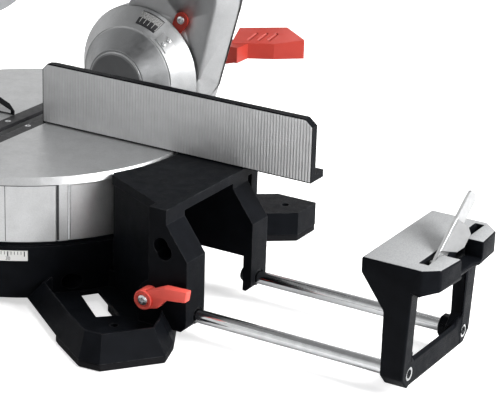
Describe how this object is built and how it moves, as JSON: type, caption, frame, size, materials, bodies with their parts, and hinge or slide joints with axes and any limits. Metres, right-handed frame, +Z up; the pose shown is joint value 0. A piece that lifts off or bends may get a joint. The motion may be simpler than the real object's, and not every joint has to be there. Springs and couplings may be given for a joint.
{
  "type": "sliding compound mitre saw",
  "caption": "Bench mitre saw with swivelling table, tilting rail-guided head, fence, pull-out side extensions with flip stops and red clamp levers.",
  "frame": {"origin": "on the bench under the turntable axis, at the middle of the bench bolt holes", "axes": "+X right along the fence, +Y from the operator to the back, +Z up"},
  "size_m": [1.134, 0.825, 0.6296],
  "materials": {
    "black_cast": "satin fine texture",
    "bare_cast": "fine sand-cast",
    "steel": "bright ground",
    "rod_steel": "polished",
    "red_plastic": "satin",
    "black_plastic": "fine grain",
    "grey_plastic": "fine grain",
    "pad_rubber": "matt",
    "scale_print": "printed strip",
    "dark_scale": "printed strip",
    "bronze": "sintered",
    "guard_grey": "satin",
    "blade_steel": "ground",
    "copper_core": "wound and varnished",
    "belt_rubber": "ribbed"
  },
  "bodies": {
    "base": {"base_casting": "black_cast", "foot_pads": "pad_rubber", "mitre_scale": "scale_print", "fence_right": "bare_cast", "fence_left": "bare_cast", "fence_bolts": "steel", "rod_bushes": "black_plastic", "clamp_shoes": "bronze", "table_pivot_bolt": "steel"},
    "fence_slider": {"fence_slide": "bare_cast"},
    "fence_lock": {"fence_knob": "red_plastic"},
    "turntable": {"turntable": "bare_cast", "kerf_plates": "black_plastic", "mitre_pointer": "red_plastic", "bevel_trunnion": "bare_cast", "trunnion_bolts": "steel", "trunnion_cap": "grey_plastic", "bevel_scale": "dark_scale", "bevel_stop_plate": "steel", "bevel_pivot_bolt": "steel"},
    "mitre_lock": {"mitre_lock_spindle": "steel", "mitre_lock_knob": "red_plastic"},
    "detent": {"detent_lever": "grey_plastic"},
    "bevel_arm": {"bevel_arm": "bare_cast", "bevel_pointer": "red_plastic", "rail_bushes": "bronze"},
    "bevel_clamp": {"bevel_clamp_lever": "red_plastic"},
    "slide_lock": {"slide_lock_knob": "red_plastic"},
    "carriage": {"carriage": "black_cast", "slide_rails": "rod_steel", "rail_end_cap": "black_plastic", "chop_pivot_pin": "steel", "return_spring": "steel"},
    "head": {"upper_guard": "black_cast", "drive_housing": "black_cast", "motor_housing": "black_cast", "motor_cap": "black_plastic", "stator": "copper_core", "shaft_bearings": "steel", "drive_belt": "belt_rubber", "handle": "black_plastic", "handle_grip": "pad_rubber", "dust_port": "black_plastic", "cord_gland": "black_plastic"},
    "blade": {"arbor": "steel", "blade_flanges": "steel", "saw_blade": "blade_steel", "blade_bolt": "steel"},
    "rotor": {"armature": "copper_core"},
    "lower_guard": {"lower_guard": "guard_grey"},
    "trigger": {"trigger": "red_plastic"},
    "lock_off": {"lock_off_button": "red_plastic"},
    "right_extension": {"right_end_frame": "black_cast", "right_rods": "rod_steel"},
    "right_stop": {"right_stop": "steel"},
    "right_clamp": {"right_clamp_lever": "red_plastic"},
    "left_extension": {"left_end_frame": "black_cast", "left_rods": "rod_steel"},
    "left_stop": {"left_stop": "steel"},
    "left_clamp": {"left_clamp_lever": "red_plastic"}
  },
  "joints": [
    {"name": "turntable_swivel", "type": "hinge", "parent": "base", "child": "turntable", "pos_m": [0, 0, 0.1], "axis": [0, 0, 1], "range_deg": [-47, 47]},
    {"name": "mitre_lock_turn", "type": "hinge", "parent": "turntable", "child": "mitre_lock", "pos_m": [0, -0.1952, 0.04], "axis": [0, -0.9478, 0.319], "range_deg": [0, 180]},
    {"name": "detent_press", "type": "hinge", "parent": "turntable", "child": "detent", "pos_m": [-0.028, -0.254, 0.082], "axis": [1, 0, 0], "range_deg": [0, 6], "stiffness_Nm_per_rad": 2, "springref_deg": -8.59},
    {"name": "bevel_tilt", "type": "hinge", "parent": "turntable", "child": "bevel_arm", "pos_m": [0, 0.22, 0.137], "axis": [0, -1, 0], "range_deg": [-2, 47]},
    {"name": "bevel_clamp_turn", "type": "hinge", "parent": "turntable", "child": "bevel_clamp", "pos_m": [0, 0.295, 0.137], "axis": [0, -1, 0], "range_deg": [0, 30]},
    {"name": "slide_lock_turn", "type": "hinge", "parent": "bevel_arm", "child": "slide_lock", "pos_m": [0.13, 0.252, 0.3], "axis": [1, 0, 0], "range_deg": [0, 180]},
    {"name": "head_slide", "type": "slide", "parent": "bevel_arm", "child": "carriage", "axis": [0, -1, 0], "range_m": [0, 0.18]},
    {"name": "head_chop", "type": "hinge", "parent": "carriage", "child": "head", "pos_m": [0.051, 0.1, 0.338], "axis": [1, 0, 0], "range_deg": [0, 52], "stiffness_Nm_per_rad": 8, "springref_deg": -126.05},
    {"name": "lower_guard_swing", "type": "hinge", "parent": "head", "child": "lower_guard", "pos_m": [0, -0.06886, 0.39008], "axis": [1, 0, 0], "range_deg": [0, 170]},
    {"name": "blade_spin", "type": "hinge", "parent": "head", "child": "blade", "pos_m": [0, -0.06886, 0.39008], "axis": [1, 0, 0], "continuous": true},
    {"name": "rotor_spin", "type": "hinge", "parent": "head", "child": "rotor", "pos_m": [0.1, 0.02575, 0.40055], "axis": [1, 0, 0], "continuous": true},
    {"name": "trigger_pull", "type": "slide", "parent": "head", "child": "trigger", "axis": [0, -0.6157, 0.788], "range_m": [0, 0.006], "stiffness_N_per_m": 600, "springref_m": -0.004},
    {"name": "lock_off_press", "type": "slide", "parent": "head", "child": "lock_off", "axis": [0, -0.788, -0.6157], "range_m": [0, 0.004], "stiffness_N_per_m": 600, "springref_m": -0.004},
    {"name": "fence_slide_out", "type": "slide", "parent": "base", "child": "fence_slider", "axis": [-1, 0, 0], "range_m": [0, 0.06]},
    {"name": "fence_lock_turn", "type": "hinge", "parent": "base", "child": "fence_lock", "pos_m": [-0.23, 0.03, 0.154], "axis": [0, 1, 0], "range_deg": [0, 180]},
    {"name": "right_extension_slide", "type": "slide", "parent": "base", "child": "right_extension", "axis": [-1, 0, 0], "range_m": [0, 0.21]},
    {"name": "right_stop_fold", "type": "hinge", "parent": "right_extension", "child": "right_stop", "pos_m": [0.542, -0.1, 0.129], "axis": [1, 0, 0], "range_deg": [-34, 0]},
    {"name": "right_clamp_turn", "type": "hinge", "parent": "base", "child": "right_clamp", "pos_m": [0.2585, -0.155, 0.0435], "axis": [0, -1, 0], "range_deg": [0, 60]},
    {"name": "left_extension_slide", "type": "slide", "parent": "base", "child": "left_extension", "axis": [1, 0, 0], "range_m": [0, 0.21]},
    {"name": "left_stop_fold", "type": "hinge", "parent": "left_extension", "child": "left_stop", "pos_m": [-0.542, -0.1, 0.129], "axis": [1, 0, 0], "range_deg": [-34, 0]},
    {"name": "left_clamp_turn", "type": "hinge", "parent": "base", "child": "left_clamp", "pos_m": [-0.2585, -0.155, 0.0435], "axis": [0, 1, 0], "range_deg": [0, 60]}
  ],
  "couplings": [
    {"joint": "lower_guard_swing", "follows": "head_chop", "ratio": 3.2692},
    {"joint": "rotor_spin", "follows": "blade_spin", "ratio": 2.25}
  ]
}
